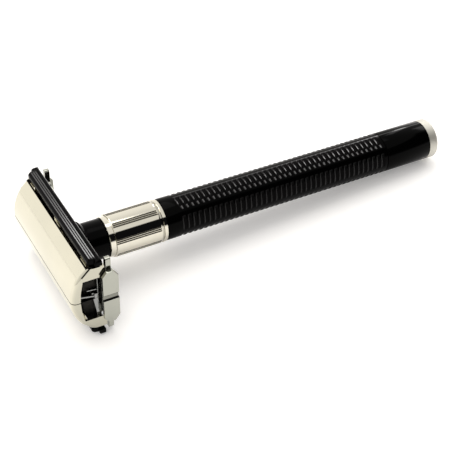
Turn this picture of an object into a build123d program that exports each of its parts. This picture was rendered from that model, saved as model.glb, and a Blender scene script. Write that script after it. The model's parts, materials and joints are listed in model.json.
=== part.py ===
"""Twist-to-open adjustable safety razor, lying on a table on its guard and the rim of its knob.

Every piece is drawn in the razor's own directions: AXIAL runs down the handle from the crown
of the cap, ALONG is the length of the head bar, and ACROSS is the way from one shaving edge to
the other. The planes below place those directions in the frame of the resting razor, in which
+X runs to the knob, +Z is up and Z = 0 is the table.
"""
import os
from math import atan2, cos, radians, sin, sqrt

from build123d import *

os.makedirs("parts", exist_ok=True)

# ---- driving dimensions, mm ---------------------------------------------------------------
# Everything named ..._at is a distance down the handle from the crown of the cap.
door_length = 42.0          # cap doors, end flange to end flange; a standard blade is 43 long
door_wall = 0.6             # sheet of the cap doors
seam_gap = 0.24             # slit between the two closed doors
door_lip_across = 9.55      # half width of the closed cap at its shaving edge
door_lip_at = 4.3
crown_radius = 13.3         # the crown's arc, from the seam to the crease
crease_across = 7.9         # faint ridge between the crown and the straight shoulder
flange_across = 9.7         # outer side of the end flanges
flange_tail_at = 8.95
flange_wall = 0.7

guard_half_width = 12.27    # half of the 24.5 mm wide guard
guard_length = 43.2
guard_front_at = 5.0
guard_back_at = 8.3
guard_rail = 1.77           # width of each outer rail
guard_travel = 0.6          # how far the adjuster lifts the guard

frame_front_at = 9.4        # base frame plate
frame_back_at = 10.8
neck_end_at = 17.2
dial_front_at = 17.32
dial_end_at = 33.65
sleeve_front_at = 33.8      # black handle sleeve
sleeve_end_at = 103.9
knob_front_at = 104.05
knob_end_at = 118.8
total_length = 121.6

neck_radius = 5.34
dial_radius = 5.93
handle_radius = 5.77
rest_edge = 0.5             # edge radius at the two places that touch the table

rod_radius = 1.5
inner_tube_radius = 3.0
inner_tube_bore = 2.1
running = 0.06              # radial clearance of a running fit
pressed = 0.02              # radial gap left at a press fit

pivot_at = 7.3              # door hinge pins
pivot_across = 7.2
pin_radius = 0.45
wing_inner = 19.45          # lifter end wings, distance from the middle of the bar
wing_outer = 20.05

push_pin_radius = 0.55      # pins that carry the guard's motion through the neck
push_pin_across = 4.15
carrier_flange_at = (18.1, 18.8)    # flange of the guard carrier, in which those pins end

# ---- how the razor lies on the table --------------------------------------------------------
guard_touch_at = guard_back_at - rest_edge
knob_touch_at = total_length - rest_edge
lean = atan2(guard_half_width - handle_radius, knob_touch_at - guard_touch_at)
lift = guard_touch_at * sin(lean) + (guard_half_width - rest_edge) * cos(lean) + rest_edge
far_reach = total_length * cos(lean) + (handle_radius - rest_edge) * sin(lean)
near_reach = -seam_gap / 2 * sin(lean)
crown = (-(far_reach + near_reach) / 2, 0, lift)

AXIAL = (cos(lean), 0, -sin(lean))
ALONG = (0, 1, 0)
ACROSS = (sin(lean), 0, cos(lean))

SECTION = Plane(origin=crown, x_dir=ALONG, z_dir=AXIAL)           # local (along, across)
SIDE = Plane(origin=crown, x_dir=AXIAL, z_dir=(0, -1, 0))         # local (at, across)
PLAN = Plane(origin=crown, x_dir=AXIAL, z_dir=ACROSS)             # local (at, along)
HANDLE_AXIS = Axis(crown, AXIAL)
UP_AXIS = Axis(crown, ACROSS)


def section(at):
    """Plane square to the handle, this far down it from the crown."""
    return SECTION.offset(at)


def side(along):
    """Plane parallel to the side view, this far along the head bar."""
    return SIDE.offset(-along)


# ---- cap doors ------------------------------------------------------------------------------
def crown_point(inset, across):
    """Point of the crown's arc, or of the arc that lies inset below it, at that half width."""
    return (crown_radius - sqrt((crown_radius - inset) ** 2 - across**2), across)


seam = (0.0, seam_gap / 2)
crease = crown_point(0, crease_across)
lip = (door_lip_at, door_lip_across)
shoulder = (Vector(*lip) - Vector(*crease)).normalized()
inward = Vector(shoulder.Y, -shoulder.X) * door_wall
inner_crease = (crease[0] + inward.X, crease[1] + inward.Y)
inner_lip = (lip[0] + inward.X, lip[1] + inward.Y)
lip_edge = 0.12             # thickness left at the shaving edge of the shell
lip_step = (0.5, 0.15)      # from the lip out to the side of the end flange
tail_slant = (6.3, 8.6)     # the flange's tail is cut off on a slant between these half widths
inside_back_at = 8.0
window_front = ((2.3, 0), (2.5, 3), (3.2, 6.45))    # front edge of the flange's window
window_across = window_front[-1][1]
pin_hole_wall = 0.15        # metal left outside the blind holes of the hinge pins
below_all = 15.0
end_round = 1.5             # rounding from the crown onto the end flanges


def make_door():
    """One cap door in the upper position: a bent shell with a C-shaped flange at each end."""
    with BuildPart() as door:
        with BuildSketch(SIDE):
            with BuildLine():
                ThreePointArc(seam, crown_point(0, crease_across / 2), crease)
                Polyline(
                    crease, lip, (lip[0] + lip_step[0], flange_across), (flange_tail_at, flange_across),
                    (flange_tail_at, tail_slant[1]), (inside_back_at, seam_gap / 2), seam,
                )
            make_face()
        extrude(amount=door_length / 2, both=True)
        end_edges = door.edges().group_by(Axis.Y)[0] + door.edges().group_by(Axis.Y)[-1]
        fillet(end_edges.sort_by(HANDLE_AXIS)[:4], end_round)
        # hollow the shell between the two end flanges, open towards the blade and the guard
        with BuildSketch(SIDE):
            with BuildLine():
                ThreePointArc((door_wall, 0), crown_point(door_wall, crease_across / 2), inner_crease)
                Polyline(
                    inner_crease, inner_lip, (lip[0] + lip_edge, lip[1] - 0.02),
                    (lip[0] + lip_edge, below_all), (below_all, below_all), (below_all, -1),
                    (door_wall, -1), (door_wall, 0),
                )
            make_face()
        extrude(amount=door_length / 2 - flange_wall, both=True, mode=Mode.SUBTRACT)
        # window in each flange, open towards the guard
        with BuildSketch(SIDE):
            Polygon(
                (window_front[0][0], -1), *window_front, (below_all, window_across), (below_all, -1),
                align=None,
            )
        extrude(amount=door_length, both=True, mode=Mode.SUBTRACT)
        # slanted end of the flange's tail
        with BuildSketch(SIDE):
            Polygon(
                (inside_back_at - 0.1, tail_slant[0]), (flange_tail_at, tail_slant[1]),
                (below_all, tail_slant[1]), (below_all, tail_slant[0]), align=None,
            )
        extrude(amount=door_length, both=True, mode=Mode.SUBTRACT)
        # blind holes for the hinge pins, from the inside of each flange
        with BuildSketch(SIDE):
            with Locations((pivot_at, pivot_across)):
                Circle(pin_radius + running)
        extrude(amount=door_length / 2 - pin_hole_wall, both=True, mode=Mode.SUBTRACT)
    return door


with BuildPart() as door_upper:
    add(make_door().part)
door_upper.part.label = "door_upper"
export_step(door_upper.part, "parts/door_upper.step")

with BuildPart() as door_lower:
    add(make_door().part.mirror(PLAN))
door_lower.part.label = "door_lower"
export_step(door_lower.part, "parts/door_lower.step")

# ---- lifter: the bar, its end wings and the rod that raise the doors --------------------------
bar_half_width = 1.5
bar_half_length = 16.8
bar_front_at = 4.6
bar_back_at = 6.8
arm_front_at = 5.9          # slimmer arms join the bar to its wings
arm_half_width = 0.6
# each end has a hub with a broad wing on one side, a slim wing on the other, and a strut
wing_back_at = 7.95
hub_outline = ((5.9, -0.95), (5.9, 0.6), (wing_back_at, 0.6), (wing_back_at, -0.95))
broad_wing = ((6.0, -0.9), (6.85, -6.4), (7.3, -7.2), (8.0, -6.6), (wing_back_at, -0.6))
slim_wing = ((7.2, 0.3), (7.2, 7.2), (8.0, 6.6), (wing_back_at, 0.3))
strut_outline = ((2.35, 0.82), (6.7, -0.08), (6.7, -0.56), (2.35, 0.38))
strut_between = (19.3, 19.8)    # distances from the middle of the bar
spur_outline = ((4.6, 2.05), (7.4, 1.75), (7.4, 1.45), (4.6, 1.72))
spur_between = (19.2, 19.6)
wing_tip_radius = 0.75
spigot_radius = 0.9         # end of the rod, riveted into the bar

with BuildPart() as lifter_bar:
    with BuildSketch(SIDE):
        with Locations(((bar_front_at + bar_back_at) / 2, 0)):
            Rectangle(bar_back_at - bar_front_at, 2 * bar_half_width)
    extrude(amount=bar_half_length, both=True)
    with BuildSketch(SIDE):
        with Locations(((arm_front_at + bar_back_at) / 2, 0)):
            Rectangle(bar_back_at - arm_front_at, 2 * arm_half_width)
    extrude(amount=wing_outer, both=True)
    # the broad wing is below at the near end and above at the far end
    for end in (-1, 1):
        with BuildSketch(side(end * (wing_inner + wing_outer) / 2)):
            for outline in (hub_outline, broad_wing, slim_wing):
                Polygon(*[(at, -end * across) for at, across in outline], align=None)
            with Locations((pivot_at, pivot_across), (pivot_at, -pivot_across)):
                Circle(wing_tip_radius)
                Circle(pin_radius, mode=Mode.SUBTRACT)
        extrude(amount=(wing_outer - wing_inner) / 2, both=True)
        for outline, between in ((strut_outline, strut_between), (spur_outline, spur_between)):
            with BuildSketch(side(end * between[0])):
                Polygon(*[(at, -end * across) for at, across in outline], align=None)
            extrude(amount=-end * (between[1] - between[0]))
    with BuildSketch(section(bar_front_at)):
        Circle(spigot_radius)
    extrude(amount=bar_back_at - bar_front_at, mode=Mode.SUBTRACT)
lifter_bar.part.label = "lifter_bar"
export_step(lifter_bar.part, "parts/lifter_bar.step")

with BuildPart() as hinge_pins:
    for end in (-1, 1):
        with BuildSketch(side(end * wing_inner)):
            with Locations((pivot_at, pivot_across), (pivot_at, -pivot_across)):
                Circle(pin_radius)
        extrude(amount=-end * (door_length / 2 - pin_hole_wall - running - wing_inner))
hinge_pins.part.label = "hinge_pins"
export_step(hinge_pins.part, "parts/hinge_pins.step")

rod_end_at = 111.0
with BuildPart() as lifter_rod:
    with BuildSketch(section(bar_front_at)):
        Circle(spigot_radius)
    extrude(amount=bar_back_at - bar_front_at)
    with BuildSketch(section(bar_back_at)):
        Circle(rod_radius)
    extrude(amount=rod_end_at - bar_back_at)
    chamfer(lifter_rod.edges().sort_by(HANDLE_AXIS)[-1], 0.4)
lifter_rod.part.label = "lifter_rod"
export_step(lifter_rod.part, "parts/lifter_rod.step")


def make_ring(front_at, back_at, outer, bore):
    """Plain ring about the handle's axis."""
    with BuildPart() as ring:
        with BuildSketch(section(front_at)):
            Circle(outer)
            Circle(bore, mode=Mode.SUBTRACT)
        extrude(amount=back_at - front_at)
    return ring.part


collar_front_at = 50.0
spring_front_at = 51.2
spring_end_at = 71.0

with BuildPart() as rod_collar:
    add(make_ring(collar_front_at, spring_front_at - 0.1, inner_tube_bore - running, rod_radius))
rod_collar.part.label = "rod_collar"
export_step(rod_collar.part, "parts/rod_collar.step")

# ---- blade platform ---------------------------------------------------------------------------
platform_half_length = 18.9
platform_edge = 9.3
platform_crown_at = 3.3
platform_edge_at = 5.05
platform_wall = 0.8
slot_half_width = 1.9
slot_back_at = 7.1
platform_middle = (3.73, 4.65)      # half way along the platform's arc
tab_length = 3.3
tab_across = 10.2
tab_wall = 0.7
end_wall = 0.9              # walls at the platform's ends, which stand on the base frame
wall_inset = 0.1            # the walls' arc lies this far inside the platform's
wall_edge = (5.0, 8.5)
wall_foot_across = 6.6
rivet_radius = 0.3
rivet_head_radius = 0.55
rivet_depth = 1.6
rivet_spots = [(along, across) for along in (-18.45, 18.45) for across in (-5.0, 5.0)]

with BuildPart() as blade_platform:
    with BuildSketch(SIDE):
        with BuildLine():
            ThreePointArc((platform_crown_at, 0), platform_middle, (platform_edge_at, platform_edge))
            Line((platform_edge_at, platform_edge), (platform_edge_at + platform_wall, platform_edge))
            ThreePointArc(
                (platform_edge_at + platform_wall, platform_edge),
                (platform_middle[0] + platform_wall, platform_middle[1]),
                (platform_crown_at + platform_wall, 0),
            )
            Line((platform_crown_at + platform_wall, 0), (platform_crown_at, 0))
        make_face()
        mirror(about=Plane.XZ)
    extrude(amount=platform_half_length, both=True)
    # support tabs that show between the cap's lip and the guard
    for along in (tab_length / 2 - platform_half_length, 0, platform_half_length - tab_length / 2):
        with BuildSketch(side(along)):
            with Locations((platform_edge_at + platform_wall / 2, 0)):
                Rectangle(tab_wall, 2 * tab_across)
                Rectangle(2 * tab_wall, 2 * platform_edge - 0.4, mode=Mode.SUBTRACT)
        extrude(amount=tab_length / 2, both=True)
    for end in (-1, 1):
        with BuildSketch(side(end * (platform_half_length - end_wall / 2))):
            with BuildLine():
                wall_front = (platform_crown_at + wall_inset, 0)
                wall_middle = (platform_middle[0] + wall_inset, platform_middle[1])
                ThreePointArc(wall_front, wall_middle, wall_edge)
                Polyline(wall_edge, (frame_front_at, wall_foot_across), (frame_front_at, 0), wall_front)
            make_face()
            mirror(about=Plane.XZ)
        extrude(amount=end_wall / 2, both=True)
    # slot through which the lifter bar rises, open at both ends
    with BuildSketch(SIDE):
        with Locations((slot_back_at / 2, 0)):
            Rectangle(slot_back_at + 2, 2 * slot_half_width)
    extrude(amount=platform_half_length + 1, both=True, mode=Mode.SUBTRACT)
    with BuildSketch(section(frame_front_at)):
        with Locations(*rivet_spots):
            Circle(rivet_radius)
    extrude(amount=-rivet_depth, mode=Mode.SUBTRACT)
blade_platform.part.label = "blade_platform"
export_step(blade_platform.part, "parts/blade_platform.step")

# ---- guard ------------------------------------------------------------------------------------
rail_inner = guard_half_width - guard_rail
deck_front_at = 7.5         # plate that joins the two rails under the blade platform
deck_half_length = 17.4
deck_half_width = 8.2
bridge_spots = (-16.4, -7.5, 7.5, 16.4)
rib_spots = (5.85, 6.45, 7.05)   # fine ribs along the outer face of each rail
rib_height = 0.14
rib_width = 0.26
rail_end_radius = 0.9
ribs_end = 19.9             # half length of the ribs and of the band
band_width = 1.1
band_depth = 0.8
bridge_width = 1.3
rail_slope = (0.6, 0.65)    # front outer edge of each rail, cut back on a slant

with BuildPart() as guard:
    with BuildSketch(SIDE):
        Polygon(
            (guard_front_at, rail_inner), (guard_front_at, guard_half_width - rail_slope[1]),
            (guard_front_at + rail_slope[0], guard_half_width - rib_height),
            (guard_back_at, guard_half_width - rib_height), (guard_back_at, rail_inner), align=None,
        )
        mirror(about=Plane.XZ)
    extrude(amount=guard_length / 2, both=True)
    with BuildSketch(section(guard_front_at)):
        Rectangle(guard_length + 2, 4 * guard_half_width)
        RectangleRounded(guard_length, 2 * guard_half_width, rail_end_radius, mode=Mode.SUBTRACT)
    extrude(amount=guard_back_at - guard_front_at, mode=Mode.SUBTRACT)
    with BuildSketch(section(deck_front_at)):
        Rectangle(2 * deck_half_length, 2 * deck_half_width)
        Circle(rod_radius + 0.5, mode=Mode.SUBTRACT)
        for along in bridge_spots:
            with Locations((along, 0)):
                Rectangle(bridge_width, 2 * rail_inner + 0.2)
        with Locations((0, push_pin_across), (0, -push_pin_across)):
            Circle(push_pin_radius, mode=Mode.SUBTRACT)
    extrude(amount=guard_back_at - deck_front_at)
    # fine ribs and a plain band behind them, both shorter than the rail
    for rib_at in rib_spots:
        with BuildSketch(SIDE):
            for across in (guard_half_width - rib_height, rib_height - guard_half_width):
                with Locations((rib_at, across)):
                    Rectangle(rib_width, 2 * rib_height)
        extrude(amount=ribs_end, both=True)
    with BuildSketch(SIDE):
        for across in (guard_half_width - band_depth / 2, band_depth / 2 - guard_half_width):
            with Locations((guard_back_at - band_width / 2, across)):
                Rectangle(band_width, band_depth)
    extrude(amount=ribs_end, both=True)
    outer_back = guard.edges().filter_by(Axis.Y).group_by(HANDLE_AXIS)[-1].group_by(UP_AXIS)
    fillet(outer_back[0] + outer_back[-1], rest_edge)
guard.part.label = "guard"
export_step(guard.part, "parts/guard.step")

with BuildPart() as guard_pins:
    with BuildSketch(section(deck_front_at)):
        with Locations((0, push_pin_across), (0, -push_pin_across)):
            Circle(push_pin_radius)
    extrude(amount=carrier_flange_at[1] - deck_front_at)
guard_pins.part.label = "guard_pins"
export_step(guard_pins.part, "parts/guard_pins.step")

# ---- base frame, end plates and rivets ----------------------------------------------------------
frame_half_width = 5.0
frame_waist = 8.5           # half length of the narrow middle, from which the frame widens to its ears
plate_inner = 21.35         # inner face of the end plates, from the middle of the bar
plate_outer = 22.2
ear_tip_across = 11.35
ear_outer = 20.9
ear_inner = 19.2
ear_chamfer = (0.5, 0.6)
ear_notch = ((20.9, 7.2), (20.2, 6.6), (20.2, 0))   # clears the folds of the end plates
frame_shoulder = ((17.6, 7.6), (19.0, 9.3))

with BuildPart() as base_frame:
    with BuildSketch(section(frame_front_at)):
        Rectangle(2 * plate_inner, 2 * frame_half_width)
        with BuildLine():
            Polyline(
                (frame_waist, 0), (frame_waist, frame_half_width), *frame_shoulder,
                (ear_inner, ear_tip_across - ear_chamfer[1]),
                (ear_inner + ear_chamfer[0], ear_tip_across), (ear_outer - ear_chamfer[0], ear_tip_across),
                (ear_outer, ear_tip_across - ear_chamfer[1]), *ear_notch, (frame_waist, 0),
            )
        make_face()
        mirror(about=Plane.XZ)
        mirror(about=Plane.YZ)
        Circle(inner_tube_radius + pressed, mode=Mode.SUBTRACT)
        with Locations((0, push_pin_across), (0, -push_pin_across)):
            Circle(push_pin_radius + running, mode=Mode.SUBTRACT)
        with Locations(*rivet_spots):
            Circle(rivet_radius, mode=Mode.SUBTRACT)
    extrude(amount=frame_back_at - frame_front_at)
base_frame.part.label = "base_frame"
export_step(base_frame.part, "parts/base_frame.step")


plate_outline = ((7.86, 6.6), (9.1, 8.1), (10.9, 8.1), (12.16, 6.4))    # upper half of the octagon
plate_groove_width = 1.9
plate_groove_depth = 0.22
fold_width = 1.4            # two folds that join each end plate to the base frame's ears
fold_wall = 0.7
fold_at = 10.3
fold_across = 7.7


def make_end_plate(end):
    """Octagonal plate on one end of the base frame, with a groove and two folded tabs."""
    with BuildPart() as plate:
        with BuildSketch(side(end * plate_inner)):
            Polygon((plate_outline[0][0], 0), *plate_outline, (plate_outline[-1][0], 0), align=None)
            mirror(about=Plane.XZ)
        extrude(amount=-end * (plate_outer - plate_inner))
        with BuildSketch(side(end * plate_outer)):
            with Locations((fold_at, 0)):
                Rectangle(6, plate_groove_width)
        extrude(amount=end * plate_groove_depth, mode=Mode.SUBTRACT)
        with BuildSketch(side(end * plate_inner)):
            with Locations((fold_at, fold_across), (fold_at, -fold_across)):
                Rectangle(fold_width, fold_wall)
        extrude(amount=end * (plate_inner - ear_outer))
    return plate.part


with BuildPart() as end_plate_near:
    add(make_end_plate(-1))
end_plate_near.part.label = "end_plate_near"
export_step(end_plate_near.part, "parts/end_plate_near.step")

with BuildPart() as end_plate_far:
    add(make_end_plate(1))
end_plate_far.part.label = "end_plate_far"
export_step(end_plate_far.part, "parts/end_plate_far.step")

with BuildPart() as platform_rivets:
    with BuildSketch(section(frame_front_at - rivet_depth)):
        with Locations(*rivet_spots):
            Circle(rivet_radius)
    extrude(amount=rivet_depth + frame_back_at - frame_front_at)
    with BuildSketch(section(frame_back_at)):
        with Locations(*rivet_spots):
            Circle(rivet_head_radius)
    extrude(amount=0.3)
platform_rivets.part.label = "platform_rivets"
export_step(platform_rivets.part, "parts/platform_rivets.step")

# ---- neck, inner tube and what they hold ----------------------------------------------------------
tube_end_at = 96.5
flare_radius = 6.4
flare_end_at = 12.4
with BuildPart() as inner_tube:
    add(make_ring(frame_front_at, tube_end_at, inner_tube_radius, inner_tube_bore))
inner_tube.part.label = "inner_tube"
export_step(inner_tube.part, "parts/inner_tube.step")

with BuildPart() as neck:
    with BuildSketch(SIDE):
        Polygon(
            (frame_back_at, 0), (frame_back_at, flare_radius), (flare_end_at - 1, flare_radius),
            (flare_end_at, neck_radius), (neck_end_at, neck_radius), (neck_end_at, 0), align=None,
        )
    revolve(axis=HANDLE_AXIS)
    with BuildSketch(section(frame_back_at)):
        Circle(inner_tube_radius + pressed)
        with Locations((0, push_pin_across), (0, -push_pin_across)):
            Circle(push_pin_radius + running)
    extrude(amount=neck_end_at, mode=Mode.SUBTRACT)
neck.part.label = "neck"
export_step(neck.part, "parts/neck.step")

front_bush_at = (9.7, 14.0)
with BuildPart() as front_bush:
    add(make_ring(front_bush_at[0], front_bush_at[1], inner_tube_bore - pressed, rod_radius + running))
front_bush.part.label = "front_bush"
export_step(front_bush.part, "parts/front_bush.step")

with BuildPart() as spring_stop:
    add(make_ring(spring_end_at, spring_end_at + 1.5, inner_tube_bore - pressed, rod_radius + running))
spring_stop.part.label = "spring_stop"
export_step(spring_stop.part, "parts/spring_stop.step")

spring_wire = 0.2           # radius of the wire
spring_pitch = 1.1
spring_gap = 0.05           # left at each end of a spring
with BuildPart() as lift_spring:
    coil_start = section(spring_front_at + spring_wire + spring_gap).origin
    coil_length = spring_end_at - spring_front_at - 2 * (spring_wire + spring_gap)
    with BuildLine() as coil:
        Helix(spring_pitch, coil_length, (inner_tube_bore + rod_radius) / 2, coil_start, AXIAL)
    with BuildSketch(Plane(origin=coil.line @ 0, z_dir=coil.line % 0)):
        Circle(spring_wire)
    sweep(path=coil.line)
lift_spring.part.label = "lift_spring"
export_step(lift_spring.part, "parts/lift_spring.step")

# ---- adjuster: dial, its threaded ring, the guard carrier and the detent --------------------------
dial_ring_end_at = 18.8
dial_ring_radius = 5.55
dial_step_radius = 5.75
dial_rim_at = 31.9
dial_groove_at = (32.05, 33.05)
dial_groove_radius = 5.66
dial_rim_radius = 5.9
flute_groups = 8
flute_first_angle = 27.5    # middle of one pair, from the head bar's direction towards the top
flute_half_angle = 4.5      # from the middle of a pair to each of its flutes
flute_cutter = 0.38
flute_stand_off = 0.1       # how far outside the dial's surface the cutter runs
cavity_radius = 5.0         # stepped bore: carrier cavity, thread relief, two bearing lands
cavity_end_at = 23.6
relief_radius = 4.2
land_at = (25.2, 27.5)
pocket_radius = 4.6
pocket_end_at = 31.0
land_radius = inner_tube_radius + running

with BuildPart() as dial:
    with BuildSketch(SIDE):
        Polygon(
            (dial_front_at, 0), (dial_front_at, dial_ring_radius - 0.1),
            (dial_front_at + 0.1, dial_ring_radius), (dial_ring_end_at, dial_ring_radius),
            (dial_ring_end_at, dial_step_radius), (dial_ring_end_at + 0.2, dial_radius),
            (dial_rim_at - 0.25, dial_radius), (dial_rim_at, dial_step_radius),
            (dial_groove_at[0], dial_groove_radius), (dial_groove_at[1], dial_groove_radius),
            (dial_groove_at[1] + 0.08, dial_rim_radius), (dial_end_at - 0.1, dial_rim_radius),
            (dial_end_at, dial_step_radius), (dial_end_at, 0), align=None,
        )
    revolve(axis=HANDLE_AXIS)
    with BuildSketch(SIDE):
        Polygon(
            (dial_front_at, 0), (dial_front_at, cavity_radius), (cavity_end_at, cavity_radius),
            (cavity_end_at, relief_radius), (land_at[0], relief_radius), (land_at[0], land_radius),
            (land_at[1], land_radius), (land_at[1], pocket_radius), (pocket_end_at, pocket_radius),
            (pocket_end_at, land_radius), (dial_end_at, land_radius), (dial_end_at, 0), align=None,
        )
    revolve(axis=HANDLE_AXIS, mode=Mode.SUBTRACT)
    # pairs of fine flutes between smooth lands
    with BuildSketch(section(dial_ring_end_at)):
        for group in range(flute_groups):
            for offset in (-flute_half_angle, flute_half_angle):
                angle = flute_first_angle + group * 360 / flute_groups + offset
                with PolarLocations(dial_radius + flute_stand_off, 1, start_angle=angle):
                    Circle(flute_cutter)
    extrude(amount=dial_rim_at - 0.2 - dial_ring_end_at, mode=Mode.SUBTRACT)
dial.part.label = "dial"
export_step(dial.part, "parts/dial.step")

carrier_radius = 4.0
carrier_end_at = 24.4
dial_nut_at = (19.5, 23.5)
with BuildPart() as dial_nut:
    add(make_ring(dial_nut_at[0], dial_nut_at[1], cavity_radius - pressed, carrier_radius + running))
dial_nut.part.label = "dial_nut"
export_step(dial_nut.part, "parts/dial_nut.step")

with BuildPart() as guard_carrier:
    add(make_ring(carrier_flange_at[0], carrier_flange_at[1], 4.8, inner_tube_radius + running))
    add(make_ring(carrier_flange_at[1], carrier_end_at, carrier_radius, inner_tube_radius + running))
    with BuildSketch(section(carrier_flange_at[0])):
        with Locations((0, push_pin_across), (0, -push_pin_across)):
            Circle(push_pin_radius)
    extrude(amount=carrier_flange_at[1] - carrier_flange_at[0], mode=Mode.SUBTRACT)
guard_carrier.part.label = "guard_carrier"
export_step(guard_carrier.part, "parts/guard_carrier.step")

# the detent sits in the bush that closes the front of the handle sleeve
sleeve_bore = 4.9
detent_radius = 0.55
detent_across = 4.0
detent_depth = 3.6
front_plug_end_at = 39.0
with BuildPart() as front_plug:
    add(make_ring(sleeve_front_at, front_plug_end_at, sleeve_bore - pressed, inner_tube_radius + pressed))
    with BuildSketch(section(sleeve_front_at)):
        with Locations((0, detent_across)):
            Circle(detent_radius + 0.05)
    extrude(amount=detent_depth, mode=Mode.SUBTRACT)
front_plug.part.label = "front_plug"
export_step(front_plug.part, "parts/front_plug.step")

ball_at = sleeve_front_at - 0.08 + detent_radius
with BuildPart() as detent_ball:
    with Locations(section(ball_at).location * Location((0, detent_across, 0))):
        Sphere(detent_radius)
detent_ball.part.label = "detent_ball"
export_step(detent_ball.part, "parts/detent_ball.step")

detent_wire = 0.1
detent_pitch = 0.45
with BuildPart() as detent_spring:
    detent_start = ball_at + detent_radius + detent_wire + spring_gap
    detent_length = sleeve_front_at + detent_depth - detent_wire - spring_gap - detent_start
    detent_origin = (section(detent_start).location * Location((0, detent_across, 0))).position
    with BuildLine() as detent_coil:
        Helix(detent_pitch, detent_length, detent_radius - 2 * detent_wire, detent_origin, AXIAL)
    with BuildSketch(Plane(origin=detent_coil.line @ 0, z_dir=detent_coil.line % 0)):
        Circle(detent_wire)
    sweep(path=detent_coil.line)
detent_spring.part.label = "detent_spring"
export_step(detent_spring.part, "parts/detent_spring.step")

# ---- handle sleeve: six rows of short cross grooves, with smooth lands between -------------------
grip_rows = 6
first_row_angle = 15.0      # middle of one row, from the near side towards the top
groove_depth = 0.6
groove_width = 0.8
groove_pitch = 1.589
groove_count = 41
first_groove_at = 38.7
groove_half_angle = 22.5


def row_planes(at, radius):
    """Planes that touch a circle of this radius about the handle, one on the middle of each row."""
    planes = []
    for row in range(grip_rows):
        angle = radians(first_row_angle + row * 360 / grip_rows)
        outward = SECTION.from_local_coords(Vector(-cos(angle), sin(angle), 0)) - SECTION.origin
        planes.append(Plane(origin=section(at).origin + outward * radius, x_dir=AXIAL, z_dir=outward))
    return planes


with BuildPart() as handle_sleeve:
    add(make_ring(sleeve_front_at, sleeve_end_at, handle_radius, sleeve_bore))
    groove_middle_at = first_groove_at + groove_pitch * (groove_count - 1) / 2
    with BuildSketch(*row_planes(groove_middle_at, handle_radius - groove_depth)):
        with GridLocations(groove_pitch, 0, groove_count, 1):
            Rectangle(groove_width, 2 * handle_radius * sin(radians(groove_half_angle)))
    extrude(amount=1.0, mode=Mode.SUBTRACT)
handle_sleeve.part.label = "handle_sleeve"
export_step(handle_sleeve.part, "parts/handle_sleeve.step")

# ---- knob and its drive ------------------------------------------------------------------------------
hub_radius = 3.9
hub_front_at = 97.2
hub_end_at = 116.0
hub_bore_depth = 15.8
clip_front_at = 98.4
clip_end_at = 99.3
clip_groove_radius = 3.4
clip_radius = 4.6
clip_gap = 3.0
end_bearing_at = (99.5, 103.6)
with BuildPart() as end_bearing:
    add(make_ring(end_bearing_at[0], end_bearing_at[1], sleeve_bore - pressed, hub_radius + running))
end_bearing.part.label = "end_bearing"
export_step(end_bearing.part, "parts/end_bearing.step")

with BuildPart() as knob_hub:
    with BuildSketch(SIDE):
        Polygon(
            (hub_front_at, 0), (hub_front_at, hub_radius), (clip_front_at, hub_radius),
            (clip_front_at, clip_groove_radius), (clip_end_at, clip_groove_radius),
            (clip_end_at, hub_radius), (hub_end_at, hub_radius), (hub_end_at, 0), align=None,
        )
    revolve(axis=HANDLE_AXIS)
    with BuildSketch(section(hub_front_at)):
        Circle(rod_radius + running)
    extrude(amount=hub_bore_depth, mode=Mode.SUBTRACT)
knob_hub.part.label = "knob_hub"
export_step(knob_hub.part, "parts/knob_hub.step")

with BuildPart() as retaining_ring:
    with BuildSketch(section(clip_front_at + 0.05)):
        Circle(clip_radius)
        Circle(clip_groove_radius, mode=Mode.SUBTRACT)
        with Locations((0, -clip_radius)):
            Rectangle(clip_gap, clip_radius, mode=Mode.SUBTRACT)
    extrude(amount=clip_end_at - clip_front_at - 0.1)
retaining_ring.part.label = "retaining_ring"
export_step(retaining_ring.part, "parts/retaining_ring.step")

cap_stub_radius = 2.0       # stub of the end cap, pressed into the knob's end wall
cap_stub_at = 117.0
with BuildPart() as knob:
    add(make_ring(knob_front_at, hub_end_at, handle_radius, hub_radius + pressed))
    add(make_ring(hub_end_at, knob_end_at, handle_radius, cap_stub_radius + pressed))
knob.part.label = "knob"
export_step(knob.part, "parts/knob.step")

with BuildPart() as knob_cap:
    with BuildSketch(section(knob_end_at)):
        Circle(handle_radius)
    extrude(amount=total_length - knob_end_at)
    fillet(knob_cap.edges().sort_by(HANDLE_AXIS)[-1], rest_edge)
    with BuildSketch(section(cap_stub_at)):
        Circle(cap_stub_radius)
    extrude(amount=knob_end_at - cap_stub_at)
knob_cap.part.label = "knob_cap"
export_step(knob_cap.part, "parts/knob_cap.step")
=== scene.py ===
import json
from math import cos, pi, radians, sin, sqrt

import bmesh
import bpy
from mathutils import Matrix, Vector
from mathutils.geometry import delaunay_2d_cdt


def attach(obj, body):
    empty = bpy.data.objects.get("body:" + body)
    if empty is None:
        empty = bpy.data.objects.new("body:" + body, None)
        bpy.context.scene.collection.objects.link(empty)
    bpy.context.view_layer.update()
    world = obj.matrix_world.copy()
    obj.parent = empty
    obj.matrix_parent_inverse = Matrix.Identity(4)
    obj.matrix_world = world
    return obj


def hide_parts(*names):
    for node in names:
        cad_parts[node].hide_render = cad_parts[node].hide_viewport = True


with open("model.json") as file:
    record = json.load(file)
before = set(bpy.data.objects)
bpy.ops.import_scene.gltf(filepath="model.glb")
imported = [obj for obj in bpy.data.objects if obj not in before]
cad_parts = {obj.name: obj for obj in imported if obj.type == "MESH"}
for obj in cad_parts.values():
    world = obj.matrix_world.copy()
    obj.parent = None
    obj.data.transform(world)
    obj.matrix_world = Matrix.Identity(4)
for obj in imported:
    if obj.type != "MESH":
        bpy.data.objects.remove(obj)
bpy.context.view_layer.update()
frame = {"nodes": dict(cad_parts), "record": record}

MM = 0.001

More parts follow.
